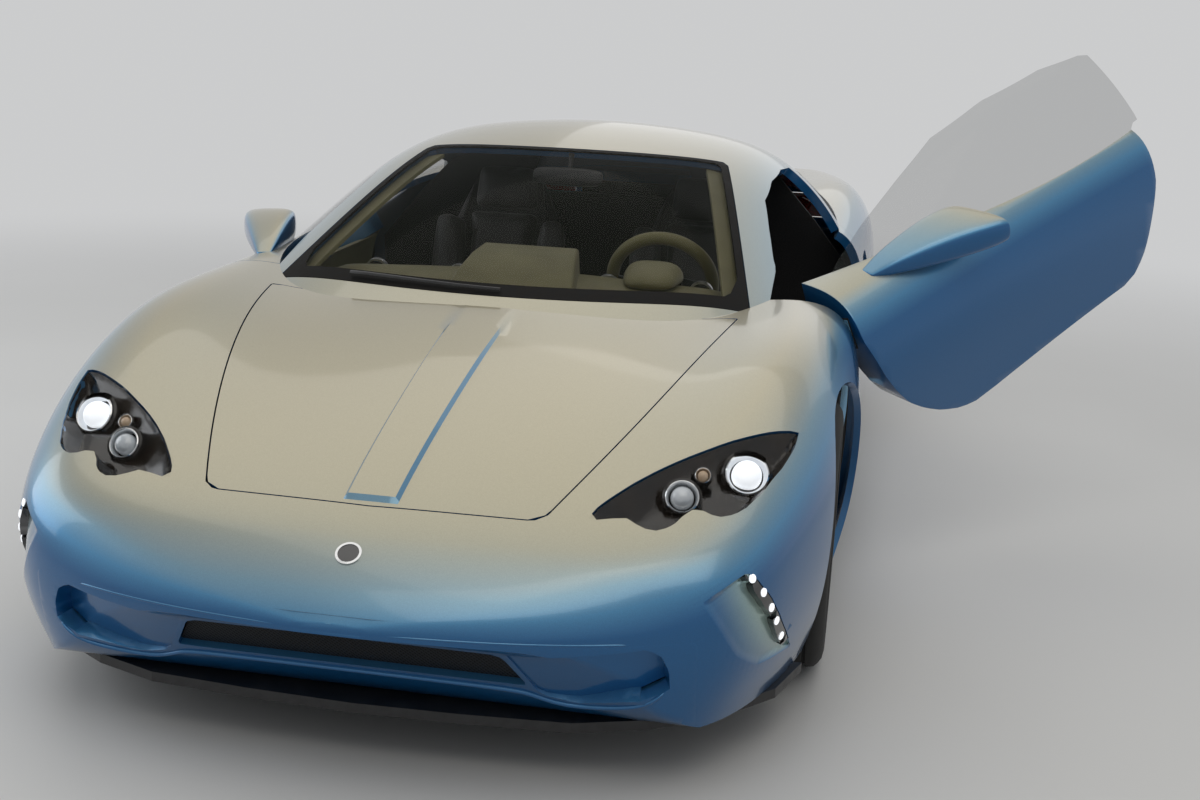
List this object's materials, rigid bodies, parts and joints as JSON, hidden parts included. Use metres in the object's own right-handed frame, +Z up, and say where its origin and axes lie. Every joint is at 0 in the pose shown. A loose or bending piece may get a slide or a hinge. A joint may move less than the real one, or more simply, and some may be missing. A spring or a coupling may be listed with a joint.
{
  "type": "mid-engined sports car",
  "caption": "Low two-seat mid-engined sports car with wide wings, a ribbed front lid, a mesh nose intake, and doors that swing out and up; wheels, steering, doors and lids move.",
  "frame": {"origin": "on the ground, on the car's plane of symmetry, 1.28 m behind the front axle", "axes": "+X towards the car's left side, the nose towards -Y, +Z up"},
  "size_m": [2.8515, 4.492, 1.4973],
  "materials": {
    "paint": "pearl",
    "black_gloss": "gloss",
    "black_trim": "matte",
    "glass": "tinted",
    "lamp": "clear",
    "tail_lamp": "clear red",
    "tyre": "matte",
    "rim": "satin",
    "alloy": "cast",
    "steel": "satin",
    "leather": "stitched",
    "seat_leather": "stitched",
    "aluminium": "sheet",
    "dark_metal": "painted"
  },
  "bodies": {
    "car_body": {"arch_liners": "black_trim", "cabin_frame": "paint", "centre_console": "leather", "dashboard": "leather", "daytime_lamps": "lamp", "engine": "dark_metal", "exhaust": "steel", "floor_pan": "aluminium", "front_bulkhead": "aluminium", "front_clam": "paint", "front_fascia": "paint", "front_grille": "black_trim", "front_wishbones": "steel", "headlamps": "lamp", "luggage_tub": "aluminium", "quarter_windows": "glass", "rear_bulkhead": "aluminium", "rear_clam": "paint", "rear_diffuser": "black_trim", "rear_frame": "dark_metal", "rear_uprights": "alloy", "rear_window": "glass", "rear_wishbones": "steel", "seat_left": "seat_leather", "seat_right": "seat_leather", "side_sills": "paint", "splitter": "black_gloss", "tail_grille": "black_trim", "tail_lamps": "tail_lamp", "windscreen": "glass"},
    "bonnet": {"bonnet": "paint"},
    "engine_lid": {"engine_lid": "paint"},
    "door_left": {"door_left": "paint", "door_window_left": "glass", "mirror_left": "paint"},
    "door_right": {"door_right": "paint", "door_window_right": "glass", "mirror_right": "paint"},
    "steering_wheel": {"steering_wheel": "leather"},
    "knuckle_left": {"knuckle_front_left": "alloy"},
    "knuckle_right": {"knuckle_front_right": "alloy"},
    "wheel_front_left": {"tyre_front_left": "tyre", "rim_front_left": "rim"},
    "wheel_front_right": {"tyre_front_right": "tyre", "rim_front_right": "rim"},
    "wheel_rear_left": {"tyre_rear_left": "tyre", "rim_rear_left": "rim"},
    "wheel_rear_right": {"tyre_rear_right": "tyre", "rim_rear_right": "rim"}
  },
  "joints": [
    {"name": "door_left_hinge", "type": "hinge", "parent": "car_body", "child": "door_left", "pos_m": [0.916, -0.77, 0.776], "axis": [0.4281, -0.031, -0.9032], "range_deg": [-50.5, 0]},
    {"name": "door_right_hinge", "type": "hinge", "parent": "car_body", "child": "door_right", "pos_m": [-0.916, -0.77, 0.776], "axis": [0.4281, 0.031, 0.9032], "range_deg": [0, 50.5]},
    {"name": "bonnet_hinge", "type": "hinge", "parent": "car_body", "child": "bonnet", "pos_m": [0, -0.952, 0.802], "axis": [-1, 0, 0], "range_deg": [0, 50]},
    {"name": "engine_lid_hinge", "type": "hinge", "parent": "car_body", "child": "engine_lid", "pos_m": [0, 0.799, 1.155], "axis": [1, 0, 0], "range_deg": [0, 55]},
    {"name": "steering", "type": "hinge", "parent": "car_body", "child": "steering_wheel", "pos_m": [0.365, -0.405, 0.775], "axis": [0, 0.9135, 0.4067], "range_deg": [-480, 480]},
    {"name": "kingpin_left", "type": "hinge", "parent": "car_body", "child": "knuckle_left", "pos_m": [0.69, -1.28, 0.327], "axis": [0, 0, 1], "range_deg": [-32, 32]},
    {"name": "kingpin_right", "type": "hinge", "parent": "car_body", "child": "knuckle_right", "pos_m": [-0.69, -1.28, 0.327], "axis": [0, 0, 1], "range_deg": [-32, 32]},
    {"name": "wheel_front_left_spin", "type": "hinge", "parent": "knuckle_left", "child": "wheel_front_left", "pos_m": [0.82, -1.28, 0.327], "axis": [1, 0, 0], "continuous": true},
    {"name": "wheel_front_right_spin", "type": "hinge", "parent": "knuckle_right", "child": "wheel_front_right", "pos_m": [-0.82, -1.28, 0.327], "axis": [1, 0, 0], "continuous": true},
    {"name": "wheel_rear_left_spin", "type": "hinge", "parent": "car_body", "child": "wheel_rear_left", "pos_m": [0.8, 1.38, 0.345], "axis": [1, 0, 0], "continuous": true},
    {"name": "wheel_rear_right_spin", "type": "hinge", "parent": "car_body", "child": "wheel_rear_right", "pos_m": [-0.8, 1.38, 0.345], "axis": [1, 0, 0], "continuous": true}
  ],
  "couplings": [
    {"joint": "kingpin_left", "follows": "steering", "ratio": 0.066667},
    {"joint": "kingpin_right", "follows": "steering", "ratio": 0.066667}
  ]
}
